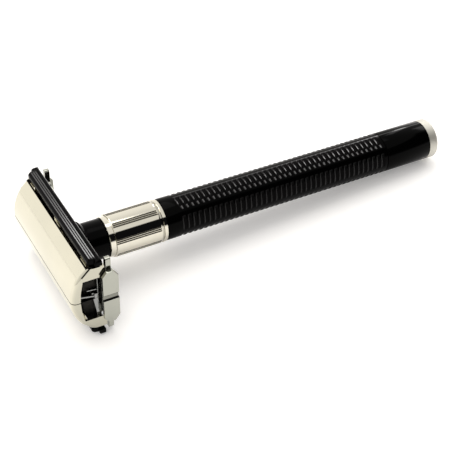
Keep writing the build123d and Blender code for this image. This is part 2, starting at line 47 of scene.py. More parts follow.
# ---- the razor's own directions ------------------------------------------------------------------
# The razor lies tilted on the floor. Its handle axis is the axis of the knob's joint, which
# starts at the crown of the cap: AXIAL runs down the handle, ALONG is the length of the head
# bar and ACROSS goes from one shaving edge to the other.


def joint(name):
    """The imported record's joint of that name."""
    return next(j for j in frame["record"]["behaviour"]["joints"] if j["name"] == name)


CROWN = Vector(joint("knob_twist")["pos_m"])
AXIAL = Vector(joint("knob_twist")["axis"]).normalized()
ALONG = Vector((0, 1, 0))
ACROSS = AXIAL.cross(ALONG)
PLACE = Matrix.Translation(CROWN) @ Matrix((AXIAL, ALONG, ACROSS)).transposed().to_4x4()
UNPLACE = PLACE.inverted()


def extent(node):
    """Lowest and highest (at, along, across) of a CAD node, in the razor's own directions."""
    points = [UNPLACE @ v.co for v in frame["nodes"][node].data.vertices]
    low = Vector([min(p[i] for p in points) for i in range(3)])
    high = Vector([max(p[i] for p in points) for i in range(3)])
    return low, high


def radius(node):
    """Outer radius of a CAD node that is round about the handle."""
    return max((UNPLACE @ v.co).yz.length for v in frame["nodes"][node].data.vertices)


# ---- materials -----------------------------------------------------------------------------------

WIPE_SCALE = 90                 # noise scales of metal: cloudy colour, smears in the gloss,
SMEAR_SCALE = 160
SCRATCH_SCALE = 1500            # hairline scratches, painted shade inside the head and turned metal's colour
INSIDE_SHADE_SCALE = 400
TURNED_SCALE = 120
MOTTLE_SCALE = 70               # and of black paint: colour, dust and orange peel
DUST_SCALE = 220
PEEL_SCALE = 900
# darker colour for the bottoms of fine grooves
DARKER_TONE = (0.03, 0.028, 0.022)
# painted shade inside the head: two near-black tones
INSIDE_SHADE = (0.012, 0.012, 0.011)
INSIDE_SHADE_PALE = (0.03, 0.028, 0.025)
INSIDE_SHADE_ROUGHNESS = 0.4           # added to the metal's own inside the head, with the painted shade
SHADED_END_FADE = (0.0202, 0.0209)     # painted shade at the ends: distance from the middle of the head bar, in metres
BRIGHT_BEYOND = (0.0192, 0.0088)    # painted shade inside the head, within these distances along and across, in metres
# painted highlight on black parts: a lighter colour and a stronger mirror where highlights fall
HIGHLIGHT_TONE = (0.018, 0.018, 0.018)
HIGHLIGHT_IOR = 1.55


class Nodes:
    """The node tree of a material or a world, with short calls for the nodes used here.

    A value is a number, a triple, or another node's output."""

    def __init__(self, owner, coordinates, last):
        owner.use_nodes = True
        self.owner = owner
        self.tree = owner.node_tree
        self.last = self.tree.nodes[last]
        self.place = self.add("ShaderNodeTexCoord").outputs[coordinates]

    def feed(self, socket, value):
        if isinstance(value, bpy.types.NodeSocket):
            self.tree.links.new(value, socket)
        elif socket.type == "RGBA":
            socket.default_value = (*value, 1)
        else:
            socket.default_value = value

    def put(self, name, value):
        """Sets an input of the tree's main shader."""
        self.feed(self.last.inputs[name], value)

    def add(self, kind, **inputs):
        node = self.tree.nodes.new(kind)
        for name, value in inputs.items():
            self.feed(node.inputs[name.replace("_", " ")], value)
        return node

    def noise(self, scale, detail=4.0, roughness=0.55, vector=None):
        node = self.add("ShaderNodeTexNoise", Vector=vector or self.place, Scale=scale, Detail=detail,
                        Roughness=roughness)
        return node.outputs["Fac"]

    def stretched(self, scale):
        """Coordinates scaled differently along X, Y and Z."""
        return self.add("ShaderNodeMapping", Vector=self.place, Scale=scale).outputs["Vector"]

    def attribute(self, name):
        """The mesh's surface attribute of that name; 0 where it has none."""
        node = self.add("ShaderNodeAttribute")
        node.attribute_name = name
        return node.outputs["Fac"]

    def math(self, operation, *values):
        node = self.add("ShaderNodeMath")
        node.operation = operation
        for socket, value in zip(node.inputs, values):
            self.feed(socket, value)
        return node.outputs[0]

    def vector(self, operation, *values):
        node = self.add("ShaderNodeVectorMath")
        node.operation = operation
        for socket, value in zip(node.inputs, values):
            self.feed(socket, value)
        return node.outputs["Value" if operation == "DOT_PRODUCT" else "Vector"]

    def razor(self, direction):
        """Metres from the crown of the cap, measured along that direction of the razor."""
        return self.vector("DOT_PRODUCT", self.vector("SUBTRACT", self.place, CROWN), direction)

    def ramp(self, value, low, high, from_low=0.3, from_high=0.7, curve="LINEAR"):
        """Value mapped onto low to high, from the noise's usual range or another."""
        node = self.add("ShaderNodeMapRange", Value=value, From_Min=from_low, From_Max=from_high,
                        To_Min=low, To_Max=high)
        node.interpolation_type = curve
        return node.outputs["Result"]

    def blend(self, factor, first, second):
        """Mix of two colours."""
        node = self.add("ShaderNodeMix")
        node.data_type = "RGBA"
        self.feed(node.inputs["Factor"], factor)
        for socket, value in zip((s for s in node.inputs if s.type == "RGBA"), (first, second)):
            self.feed(socket, value)
        return next(s for s in node.outputs if s.type == "RGBA")

    def bump(self, height, strength, distance):
        node = self.add("ShaderNodeBump", Height=height, Strength=strength, Distance=distance)
        return node.outputs["Normal"]


def new_material(name):
    return Nodes(bpy.data.materials.new(name), "Object", "Principled BSDF")


def chrome(name, tint, worn, rough_low, rough_high, bright_beyond=None, end_shade=None):
    """Plated metal: a faint cloudy wipe in colour and gloss, and hairline scratches. A mesh
    attribute makes the bottoms of fine grooves darker.

    With bright_beyond, only what lies further out than that along the head bar or towards a
    shaving edge is bright; the middle gets painted shade, near-black and rougher, for the shadow
    inside the head. A duller colour given last is painted shade, into which the metal fades at the ends
    of the head bar."""
    n = new_material(name)
    colour = n.blend(n.ramp(n.noise(WIPE_SCALE, 3), 0, 1), tint, worn)
    # darker in the bottoms of fine grooves, from a mesh attribute
    colour = n.blend(n.attribute("darkened"), colour, DARKER_TONE)
    smear = n.ramp(n.noise(SMEAR_SCALE, 5, 0.6, n.stretched((1, 0.35, 1))), rough_low, rough_high)
    if end_shade:
        # painted shade: the metal grows duller towards the ends of the head bar
        shaded_end = n.ramp(n.math("ABSOLUTE", n.razor(ALONG)), 0, 1, *SHADED_END_FADE)
        colour = n.blend(shaded_end, colour, end_shade)
    if bright_beyond:
        out_along = n.math("GREATER_THAN", n.math("ABSOLUTE", n.razor(ALONG)), bright_beyond[0])
        out_across = n.math("GREATER_THAN", n.math("ABSOLUTE", n.razor(ACROSS)), bright_beyond[1])
        bright = n.math("MAXIMUM", out_along, out_across)
        # painted shade: near-black inside the head, where it lies in shadow
        painted_inside_shade = n.blend(n.ramp(n.noise(INSIDE_SHADE_SCALE, 4), 0, 1), INSIDE_SHADE, INSIDE_SHADE_PALE)
        colour = n.blend(bright, painted_inside_shade, colour)
        dulled = n.math("MULTIPLY", n.math("SUBTRACT", 1.0, bright), INSIDE_SHADE_ROUGHNESS)
        smear = n.math("ADD", smear, dulled)
    n.put("Base Color", colour)
    n.put("Roughness", smear)
    n.put("Metallic", 1.0)
    scratch = n.noise(SCRATCH_SCALE, 2, 0.5, n.stretched((1, 0.04, 1)))
    n.put("Normal", n.bump(scratch, 0.03, 0.00002))
    return n.owner


def black_gloss(name, shade, rough_low, rough_high, ior):
    """Glossy black finish, with a faint orange peel and dust-dulled patches.

    A mesh attribute paints highlights: where it is set, the black is lighter and mirrors more."""
    n = new_material(name)
    painted_highlight = n.attribute("painted_highlight")
    base = n.blend(n.ramp(n.noise(MOTTLE_SCALE, 4), 0, 1), shade, tuple(1.6 * c for c in shade))
    # painted highlight: lighter colour where the mesh marks it
    n.put("Base Color", n.blend(painted_highlight, base, HIGHLIGHT_TONE))
    n.put("Roughness", n.ramp(n.noise(DUST_SCALE, 5, 0.6), rough_low, rough_high))
    n.put("IOR", n.ramp(painted_highlight, ior, HIGHLIGHT_IOR, 0, 1))
    n.put("Normal", n.bump(n.noise(PEEL_SCALE, 2, 0.5), 0.04, 0.00003))
    return n.owner


def turned_metal(name, tint, worn, rough_low, rough_high, line_scale, line_strength):
    """Metal turned on a lathe about the handle's axis: fine rings along the handle."""
    n = new_material(name)
    n.put("Base Color", n.blend(n.ramp(n.noise(TURNED_SCALE, 4), 0, 1), tint, worn))
    rings = n.noise(line_scale, 3, 0.6, n.stretched((1, 0.02, 0.02)))
    n.put("Roughness", n.ramp(rings, rough_low, rough_high))
    n.put("Metallic", 1.0)
    n.put("Normal", n.bump(rings, line_strength, 0.00003))
    return n.owner


def floor_paint():
    """White light table: pale paper with a little light coming through it."""
    n = new_material("floor_white")
    n.put("Base Color", n.blend(n.ramp(n.noise(3, 3), 0, 1), (0.88, 0.87, 0.865), (0.90, 0.89, 0.885)))
    n.put("Emission Color", (1.0, 0.985, 0.975))
    n.put("Emission Strength", 0.26)
    n.put("Roughness", 0.75)
    n.put("Specular IOR Level", 0.1)
    return n.owner


NICKEL = (0.68, 0.65, 0.53)
# painted shade at the ends of the head bar
SHADED_END_NICKEL = (0.50, 0.485, 0.40)
NICKEL_WORN = (0.64, 0.615, 0.505)
# painted shade on the lifter: a darker copy of the nickel
LIFTER_SHADE = (0.30, 0.305, 0.30)
LIFTER_SHADE_WORN = (0.26, 0.265, 0.26)
# painted shade on the plates: a darker copy of the nickel
PLATE_SHADE = (0.41, 0.415, 0.365)
PLATE_SHADE_WORN = (0.38, 0.385, 0.34)
DIAL_NICKEL = (0.70, 0.67, 0.58)
DIAL_WORN = (0.66, 0.63, 0.54)
SATIN = (0.62, 0.605, 0.55)
SATIN_WORN = (0.57, 0.555, 0.505)
INSIDE = (0.4, 0.4, 0.41)
INSIDE_WORN = (0.32, 0.32, 0.33)
SPRING = (0.42, 0.42, 0.44)
SPRING_WORN = (0.34, 0.34, 0.36)
BRASS = (0.72, 0.56, 0.26)
BRASS_WORN = (0.6, 0.45, 0.2)
GUARD_BLACK = (0.0012, 0.0012, 0.0012)
HANDLE_BLACK = (0.0004, 0.0004, 0.0004)

# Each with its colours, then its roughness from and to.
MATERIALS = {
    # the head's nickel, with painted shade at the ends of the bar
    "chrome_head": chrome("chrome_head", NICKEL, NICKEL_WORN, 0.03, 0.07, end_shade=SHADED_END_NICKEL),
    # nickel with painted shade: near-black inside the head
    "inner_chrome_shaded": chrome("inner_chrome_shaded", NICKEL, NICKEL_WORN, 0.05, 0.12, BRIGHT_BEYOND),
    # darker copy of the nickel, painted shade for the lifter inside the head
    "lifter_shaded": chrome("lifter_shaded", LIFTER_SHADE, LIFTER_SHADE_WORN, 0.05, 0.12, BRIGHT_BEYOND),
    # darker copy of the nickel, painted shade for the plates
    "plate_shaded": chrome("plate_shaded", PLATE_SHADE, PLATE_SHADE_WORN, 0.06, 0.11),
    "nickel_dial": chrome("nickel_dial", DIAL_NICKEL, DIAL_WORN, 0.035, 0.08),
    "black_guard": black_gloss("black_guard", GUARD_BLACK, 0.10, 0.17, 1.12),
    "black_handle": black_gloss("black_handle", HANDLE_BLACK, 0.09, 0.15, 1.11),
    "satin_cap": turned_metal("satin_cap", SATIN, SATIN_WORN, 0.48, 0.58, 5200, 0.12),
    "steel_inside": turned_metal("steel_inside", INSIDE, INSIDE_WORN, 0.25, 0.4, 4000, 0.15),
    "spring_steel": turned_metal("spring_steel", SPRING, SPRING_WORN, 0.3, 0.42, 3000, 0.1),
    "brass_inside": turned_metal("brass_inside", BRASS, BRASS_WORN, 0.25, 0.38, 4000, 0.15),
}
SLOTS = {part["node"]: part["material_slot"] for part in frame["record"]["subparts"]}
BODIES = frame["record"]["behaviour"]["bodies"]
BODY = {node: body for body, nodes in BODIES.items() for node in nodes}


# ---- making pieces -------------------------------------------------------------------------------


def smooth(mesh, sharp_degrees=32):
    """Smooth shading, broken at edges sharper than that."""
    mesh.polygons.foreach_set("use_smooth", [True] * len(mesh.polygons))
    mesh.set_sharp_from_angle(angle=radians(sharp_degrees))


def piece(name, points, faces, node, sharp_degrees=32, marks=None, look=None):
    """New object from points in the razor's own directions, in metres. It takes the place of a CAD
    node and moves with that node's body.

    marks is a pair: the name of a surface attribute, and its value from 0 to 1 at each point.
    look is a material's name, where it isn't the one of the node's slot."""
    mesh = bpy.data.meshes.new(name)
    mesh.from_pydata([PLACE @ Vector(p) for p in points], [], faces)
    mesh.validate()
    if marks:
        mesh.attributes.new(marks[0], "FLOAT", "POINT").data.foreach_set("value", marks[1])
    shell = bmesh.new()
    shell.from_mesh(mesh)
    bmesh.ops.recalc_face_normals(shell, faces=shell.faces)
    shell.to_mesh(mesh)
    shell.free()
    smooth(mesh, sharp_degrees)
    obj = bpy.data.objects.new(name, mesh)
    bpy.context.scene.collection.objects.link(obj)
    mesh.materials.append(MATERIALS[look or SLOTS[node]])
    body = BODY[node]
    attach(obj, body)
    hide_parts(node)
    return obj


def rings_to_faces(ring_count, steps, closed=True):
    """Quads between consecutive rings; with closed, the last ring joins the first."""
    faces = []
    for ring in range(ring_count if closed else ring_count - 1):
        here = ring * steps
        there = (ring + 1) % ring_count * steps
        for step in range(steps):
            after = (step + 1) % steps
            faces.append((here + step, there + step, there + after, here + after))
    return faces


def prism(outline, start, stop):
    """Points and faces of a solid with that (at, across) side view, from start to stop along."""
    count = len(outline)
    points = [(at, along, across) for along in (start, stop) for at, across in outline]
    faces = [tuple(range(count)), tuple(range(2 * count - 1, count - 1, -1))]
    faces += [(i, i + count, (i + 1) % count + count, (i + 1) % count) for i in range(count)]
    return points, faces


def loft(rings):
    """Points and faces of a solid through rings of points, closed by a face at each end."""
    steps = len(rings[0])
    points = [point for ring in rings for point in ring]
    faces = rings_to_faces(len(rings), steps, closed=False)
    faces += [tuple(range(steps)), tuple(range(len(points) - 1, len(points) - steps - 1, -1))]
    return points, faces


def joined(solids):
    """One list of points and one of faces for several solids."""
    points = []
    faces = []
    for solid_points, solid_faces in solids:
        shift = len(points)
        points += solid_points
        faces += [tuple(i + shift for i in face) for face in solid_faces]
    return points, faces


def disc(at, across, r, steps=20):
    """Round (at, across) outline."""
    turns = [2 * pi * step / steps for step in range(steps)]
    return [(at + r * cos(turn), across + r * sin(turn)) for turn in turns]


def in_mm(points):
    return [tuple(MM * c for c in point) for point in points]


def soften(obj, width):
    """Rounds the hard edges of an object by that width in mm."""
    bevel = obj.modifiers.new("soft_edges", "BEVEL")
    bevel.width = width * MM
    bevel.segments = 3
    bevel.limit_method = "ANGLE"
    bevel.angle_limit = radians(30)
    weighted = obj.modifiers.new("flat_faces_flat", "WEIGHTED_NORMAL")
    weighted.keep_sharp = True
    weighted.weight = 80


def lathe(name, outline, node, steps=128, shape=None, sharp_degrees=32, mark=None):
    """Turns a closed (at, radius) outline about the handle, starting from the near side.

    shape(at, radius, angle) may dent it. mark is an attribute's name and its value, as a function
    of the same three."""
    points = []
    values = []
    for at, out in outline:
        for step in range(steps):
            angle = 2 * pi * step / steps
            r = shape(at, out, angle) if shape else out
            points.append((at, -r * cos(angle), r * sin(angle)))
            values.append(mark[1](at, out, angle) if mark else 0)
    faces = rings_to_faces(len(outline), steps)
    marks = (mark[0], values) if mark else None
    piece(name, points, faces, node, sharp_degrees, marks)


# ---- handle sleeve and knob: six rows of scooped grooves between smooth lands --------------------

ROWS = 6
ROW_ANGLE = radians(13)         # first row, from the near side towards the top
SCOOP_DEPTH = 0.42 * MM
SCOOP_HALF_ANGLE = radians(20.5)
SLOPE_SHARE = 0.24              # part of that depth reached by the gentle slope before a groove
SLOPE_FROM = -0.46              # where the slope and the bowl lie, in parts of a pitch
SLOPE_TO = -0.18
GROOVE_TO = 0.38
BOWL_MIDDLE = 0.10
BOWL_HALF = 0.28
BOWL_SQUARENESS = 0.7
RAMP_RISE = 0.34                # slope of the ramp at the lower end of a groove
RAMP_TILT = 0.26                # its slope along the handle
GROOVES = 41
FIRST_GROOVE = 38.7 * MM
GROOVE_PITCH = 1.589 * MM
SAMPLES_PER_PITCH = 14
GRIP_STEPS = 240
EDGE = 0.12 * MM                # rounding of the black pieces' ends
SLOPE_MARK = (-0.44, -0.20)     # painted highlights: a part of each slope,
UPPER_HIGHLIGHT = (radians(-4), radians(12))
RAMP_MARK = (0.04, 0.30)        # the ramps half a pitch further on,
LOWER_HIGHLIGHT = (radians(-20.5), radians(-11.5))
LINE_HIGHLIGHT = (radians(21), radians(24))    # and a line along each land, above the row
HIGHLIT_SIDE = (radians(40), radians(230))     # painted highlights go on the upper side
FAINT_HIGHLIGHT = 0.25              # fainter painted highlight on the slopes of the other rows
LINE_SHARE = 0.75


def from_row(angle):
    """Signed angle from the middle of the nearest row, in radians."""
    pitch = 2 * pi / ROWS
    return (angle - ROW_ANGLE + pitch / 2) % pitch - pitch / 2


def groove_offset(at):
    """Part of a pitch from the middle of the nearest groove, or None off the grip."""
    number = round((at - FIRST_GROOVE) / GROOVE_PITCH)
    if not 0 <= number < GROOVES:
        return None
    return (at - FIRST_GROOVE) / GROOVE_PITCH - number


def scooped(offset):
    """Depth of a groove at that part of a pitch from its middle: slope, bowl, then a steep end."""
    if not SLOPE_FROM < offset < GROOVE_TO:
        return 0
    if offset < SLOPE_TO:
        return SLOPE_SHARE * (offset - SLOPE_FROM) / (SLOPE_TO - SLOPE_FROM)
    bowl = max(cos(pi / 2 * (offset - BOWL_MIDDLE) / BOWL_HALF), 0) ** BOWL_SQUARENESS
    return SLOPE_SHARE * (GROOVE_TO - offset) / (GROOVE_TO - SLOPE_TO) + (1 - SLOPE_SHARE) * bowl


def grip(at, full, angle):
    """Outer surface of the sleeve, with its scooped grooves."""
    offset = groove_offset(at)
    off = from_row(angle)
    if offset is None or abs(off) > SCOOP_HALF_ANGLE:
        return full
    depth = SCOOP_DEPTH * scooped(offset) * (1 - (off / SCOOP_HALF_ANGLE) ** 4) ** 0.5
    ramp = RAMP_RISE * full * (off + SCOOP_HALF_ANGLE) + RAMP_TILT * GROOVE_PITCH * max(offset, 0)
    return full - min(depth, ramp)


def between(value, limits):
    return limits[0] <= value <= limits[1]


def grip_highlights(at, full, angle):
    """Painted highlights on the grip: two staggered rows of marks, and a line along each land."""
    if at < FIRST_GROOVE - 0.5 * GROOVE_PITCH:
        return 0
    # the upper side, where the highlights are painted
    worn = between(angle, HIGHLIT_SIDE)
    off = from_row(angle)
    offset = groove_offset(at)
    if between(off, LINE_HIGHLIGHT):
        return LINE_SHARE if worn else 0
    if offset is None:
        return 0
    on_slope = between(offset, SLOPE_MARK)
    if not worn:
        return FAINT_HIGHLIGHT if on_slope and abs(off) < SCOOP_HALF_ANGLE else 0
    on_ramp = between(offset, RAMP_MARK) and between(off, LOWER_HIGHLIGHT)
    return 1 if on_ramp or on_slope and between(off, UPPER_HIGHLIGHT) else 0


def rounded_bar(low, high, full, between_ends=()):
    """Outer outline of a bar with slightly rounded ends, as (at, radius)."""
    corner = 0.3 * EDGE
    outline = [(low, full - EDGE), (low + corner, full - corner), (low + EDGE, full)]
    outline += [(at, full) for at in between_ends]
    return outline + [(high - EDGE, full), (high - corner, full - corner), (high, full - EDGE)]


def make_sleeve():
    low, high = extent("handle_sleeve")
    full = radius("handle_sleeve")
    bore = 0.85 * full
    first = FIRST_GROOVE - 0.6 * GROOVE_PITCH
    count = int((GROOVES + 0.6) * SAMPLES_PER_PITCH) + 1
    samples = [first + k * GROOVE_PITCH / SAMPLES_PER_PITCH for k in range(count)]
    outline = rounded_bar(low.x, high.x, full, samples) + [(high.x, bore), (low.x, bore)]

    def shape(at, out, angle):
        if out < full - 1.01 * EDGE:
            return out
        return grip(at, full, angle) - (full - out)

    lathe("grip_sleeve", outline, "handle_sleeve", steps=GRIP_STEPS, shape=shape, sharp_degrees=50,
          mark=("painted_highlight", grip_highlights))


def make_knob():
    low, high = extent("knob")
    full = radius("knob")
    bore = 0.6 * full
    outline = rounded_bar(low.x, high.x, full) + [(high.x, bore), (low.x, bore)]

    # painted highlight: a line along each land on the upper side
    def painted_highlight(at, out, angle):
        on_line = between(angle, HIGHLIT_SIDE) and between(from_row(angle), LINE_HIGHLIGHT)
        return LINE_SHARE if on_line else 0

    lathe("twist_knob", outline, "knob", steps=GRIP_STEPS, sharp_degrees=50,
          mark=("painted_highlight", painted_highlight))


# ---- dial, in mm: fluted nickel ring with a plain collar and a grooved rim -----------------------

FLUTE_GROUPS = 8
FLUTE_FIRST = radians(17.5)
FLUTE_SPOTS = (-5.2, 0, 5.2)    # degrees from the middle of a group
FLUTE_HALF_WIDTH = radians(1.8)
FLUTE_DEPTH = 0.36 * MM
FLUTE_DARKENING = 0.85
COLLAR_STEP = 0.38              # the collar lies this far below the fluted part
COLLAR_LENGTH = 1.48
RIM_LENGTH = 1.6                # from the rim's groove to the dial's end
RIM_DEPTH = 0.3
RIM_DARKENING = 0.35
DIAL_STEPS = 720
DIAL_BORE = [(33.6, 3.06), (25.2, 3.06), (25.2, 4.2), (23.6, 4.2), (23.6, 5.0)]   # stepped


def fluted(angle):
    """How deep the dial is cut at that angle, from 0 to 1."""
    pitch = 2 * pi / FLUTE_GROUPS
    off = (angle - FLUTE_FIRST + pitch / 2) % pitch - pitch / 2
    nearest = min(abs(off - radians(spot)) for spot in FLUTE_SPOTS)
    return max(0, 1 - (nearest / FLUTE_HALF_WIDTH) ** 2) ** 0.5


def make_dial():
    low, high = extent("dial")
    front = low.x / MM
    back = high.x / MM
    full = radius("dial") / MM
    collar = full - COLLAR_STEP
    collar_end = front + COLLAR_LENGTH
    groove = back - RIM_LENGTH
    floor = full - RIM_DEPTH
    outline = [(front, collar - 0.1), (front + 0.1, collar), (collar_end, collar)]
    outline += [(collar_end, full - 0.2), (collar_end + 0.06, full - 0.06)]
    outline += [(collar_end + 0.2 + 0.12 * k, full) for k in range(6)]
    outline += [(groove - 1.0 + 0.14 * k, full) for k in range(6)]
    outline += [(groove - 0.08, full - 0.06), (groove, floor), (groove + 0.5, floor)]
    outline += [(groove + 0.62, full - 0.08), (groove + 0.72, full - 0.03)]
    outline += [(back - 0.12, full - 0.03), (back, full - 0.16)]
    outline += DIAL_BORE + [(front, DIAL_BORE[-1][1])]

    def has_flutes(at, out):
        return out / MM > full - 0.01 and collar_end + 0.3 < at / MM < groove - 0.35

    def shape(at, out, angle):
        return out - FLUTE_DEPTH * fluted(angle) if has_flutes(at, out) else out

    def darkened(at, out, angle):
        if has_flutes(at, out):
            return FLUTE_DARKENING * fluted(angle)
        in_groove = out / MM > floor - 0.05 and groove - 0.05 < at / MM < groove + 0.55
        return RIM_DARKENING if in_groove else 0

    lathe("fluted_dial", in_mm(outline), "dial", steps=DIAL_STEPS, shape=shape,
          sharp_degrees=24, mark=("darkened", darkened))


# ---- guard, in mm: two ribbed rails with rounded ends, joined by a plate -------------------------

RIB_SPOTS = (5.62, 6.22, 6.82)  # tops of the ribs: steep in front, a gentle slope behind
RIB_FRONT = 0.08
RIB_BACK = 0.40
RIB_HEIGHT = 0.135
RIBS_FROM = 5.56
RIB_SHINE = (-0.01, 0.36)       # painted highlight on part of a rib, behind its top, and on the back edge
EDGE_SHINE = 0.32
RAIL_NOSE = [(0, 11.35), (0.06, 11.5), (0.3, 11.8), (0.42, 11.94), (0.5, 12.0)]  # front edge
RAIL_FACE = 12.0
RAIL_INNER = 10.5
BAND_FROM = 7.4                 # the plain band behind the ribs stands out to the full width
BACK_ROUND = 0.5
RIBBED_TO = 19.9                # the ribs fade here, and the front edge draws back
RIBS_FADE = 0.5
NOSE_BACK = 1.5
END_ROUND = 0.9
WEB_FRONT = 7.5                 # plate between the rails: its front, its half sizes,
WEB_END = 17.4
WEB_SIDE = 8.2
ROD_HOLE = (1.9, 2.2)           # half sizes of its middle opening, along and across,
BRIDGES = (-16.4, -7.5, 7.5, 16.4)      # and the bridges to the rails
BRIDGE_HALF = 0.65


def rib_rise(at):
    """Height of the ribs at that place behind the crown."""
    rise = 0
    for spot in RIB_SPOTS:
        off = at - spot
        rise = max(rise, RIB_HEIGHT * (1 - (off / RIB_BACK if off > 0 else -off / RIB_FRONT)))
    return rise


def rail_ring(along, side):
    """Cross-section of one rail at that distance from the middle of the bar."""
    low, high = extent("guard")
    front = low.x / MM
    back = high.x / MM
    outer = high.z / MM
    end = high.y / MM
    past = max(0, abs(along) - (end - END_ROUND)) / END_ROUND
    limit = outer - END_ROUND * (1 - sqrt(max(0, 1 - past * past)))
    faded = min(max((abs(along) - RIBBED_TO) / RIBS_FADE, 0), 1)
    nose = front + NOSE_BACK * (faded * faded * (3 - 2 * faded))
    section = [(back, RAIL_INNER), (nose, RAIL_INNER)]
    section += [(nose + behind, across) for behind, across in RAIL_NOSE]
    for k in range(45):
        at = RIBS_FROM + 0.04 * k
        behind_nose = nose + RAIL_NOSE[-1][0] + 0.001 * k
        section.append((max(at, behind_nose), RAIL_FACE + rib_rise(at) * (1 - faded)))
    section += [(BAND_FROM, RAIL_FACE), (BAND_FROM + 0.06, outer - 0.1), (BAND_FROM + 0.15, outer)]
    for t in range(0, 91, 15):
        at = back - BACK_ROUND * (1 - sin(radians(t)))
        section.append((at, outer - BACK_ROUND * (1 - cos(radians(t)))))
    return [(at, along, side * min(across, limit)) for at, across in section]


def make_guard():
    high = extent("guard")[1]
    end = high.y / MM
    back = high.x / MM
    spots = [end - END_ROUND * (1 - cos(radians(t))) for t in range(0, 91, 9)]
    spots += [RIBBED_TO + RIBS_FADE - 0.1 * k for k in range(6)]
    spots += [19.2, 12, 4]
    spots = sorted(set(spots + [-spot for spot in spots]))
    solids = [loft([rail_ring(along, side) for along in spots]) for side in (-1, 1)]

    def slab(inner, outer, start, stop):
        side_view = [(WEB_FRONT, inner), (WEB_FRONT, outer), (back, outer), (back, inner)]
        solids.append(prism(side_view, start, stop))

    hole_along, hole_across = ROD_HOLE
    slab(-WEB_SIDE, WEB_SIDE, -WEB_END, -hole_along)
    slab(-WEB_SIDE, WEB_SIDE, hole_along, WEB_END)
    for side in (-1, 1):
        slab(side * hole_across, side * WEB_SIDE, -hole_along, hole_along)
        for along in BRIDGES:
            slab(side * (WEB_SIDE - 0.1), side * (RAIL_INNER + 0.1), along - BRIDGE_HALF,
                 along + BRIDGE_HALF)
    points, faces = joined(solids)
    # painted highlights on the ribs and the back edge of the rails
    painted_highlight = []
    for at, along, across in points:
        on_face = abs(across) > RAIL_FACE - 0.01 and abs(along) < RIBBED_TO
        on_rib = any(between(at - spot, RIB_SHINE) for spot in RIB_SPOTS)
        on_edge = at > back - EDGE_SHINE and abs(across) > RAIL_FACE
        painted_highlight.append(1 if on_face and (on_rib or on_edge) else 0)
    piece("ribbed_guard", in_mm(points), faces, "guard", sharp_degrees=38,
          marks=("painted_highlight", painted_highlight))


# ---- lifter, in mm: bar, tongue, and at each end two wings, a hub, a strut and a spur ------------

LIFTER_BAR = [(4.6, -1.5), (4.6, 1.5), (6.8, 1.5), (6.8, -1.5)]
LIFTER_TONGUE = [(5.9, -0.6), (5.9, 0.6), (6.8, 0.6), (6.8, -0.6)]
WING_BROAD = [(6.0, -0.9), (6.85, -6.4), (7.3, -7.2), (8.0, -6.6), (7.95, -0.6)]
WING_SLIM = [(7.2, 0.3), (7.2, 7.2), (8.0, 6.6), (7.95, 0.3)]
WING_HUB = [(6.4, -0.95), (6.4, 0.6), (7.95, 0.6), (7.95, -0.95)]
STRUT = [(2.35, 0.82), (6.7, -0.08), (6.7, -0.56), (2.35, 0.38)]
SPUR = [(4.6, 2.05), (7.4, 1.75), (7.4, 1.45), (4.6, 1.72)]
END_PIECES = ((WING_BROAD, 19.45, 20.05), (WING_SLIM, 19.45, 20.05), (WING_HUB, 19.4, 20.0),
              (STRUT, 19.3, 19.8), (SPUR, 19.2, 19.6))      # with where each starts and stops
WING_TIP = (7.3, 7.2, 0.75)         # at, across and radius of the round tip of a wing
WING_TIP_ALONG = (19.45, 20.04)
LIFTER_BAR_END = 16.8
LIFTER_TONGUE_END = 19.5


def make_lifter():
    """The broad wing is below at the near end and above at the far end."""
    solids = [prism(LIFTER_BAR, -LIFTER_BAR_END, LIFTER_BAR_END)]
    solids.append(prism(LIFTER_TONGUE, -LIFTER_TONGUE_END, LIFTER_TONGUE_END))
    tip_at, tip_across, tip_radius = WING_TIP
    for end in (-1, 1):
        for outline, start, stop in END_PIECES:
            turned = [(at, -end * across) for at, across in outline]
            solids.append(prism(turned, end * start, end * stop))
        for side in (-1, 1):
            tip = disc(tip_at, side * tip_across, tip_radius)
            solids.append(prism(tip, *(end * along for along in WING_TIP_ALONG)))
    points, faces = joined(solids)
    # painted shade: darker nickel, near-black inside the head
    obj = piece("lift_cross", in_mm(points), faces, "lifter_bar", look="lifter_shaded")
    soften(obj, 0.07)


# ---- end plates, in mm: octagons with a pressed channel across the middle ------------------------

CHANNEL_HALF = 0.50         # half width of the channel's floor, and how wide and deep its sides are
CHANNEL_SIDE = 0.46
CHANNEL_DEPTH = 0.36
CHANNEL_PINCH = 0.16        # how much shorter the plate is along the channel
CHANNEL_DARKENING = 0.5
PLATE_INNER = 21.35         # distances from the middle of the bar
PLATE_OUTER = 22.2
PLATE_EDGE = 0.14           # rounding, and the point half way round it
PLATE_CORNER = 0.04
LOWER_CUT = (6.6, 1.24 / 1.5)       # where the corners' slopes start, across, and how steep they are
UPPER_CUT = (6.4, 1.26 / 1.7)
FOLD_AT = (9.6, 11.0)       # tabs folded inwards behind the plate
FOLD_ACROSS = (7.35, 8.05)
FOLD_ALONG = (20.9, 21.4)


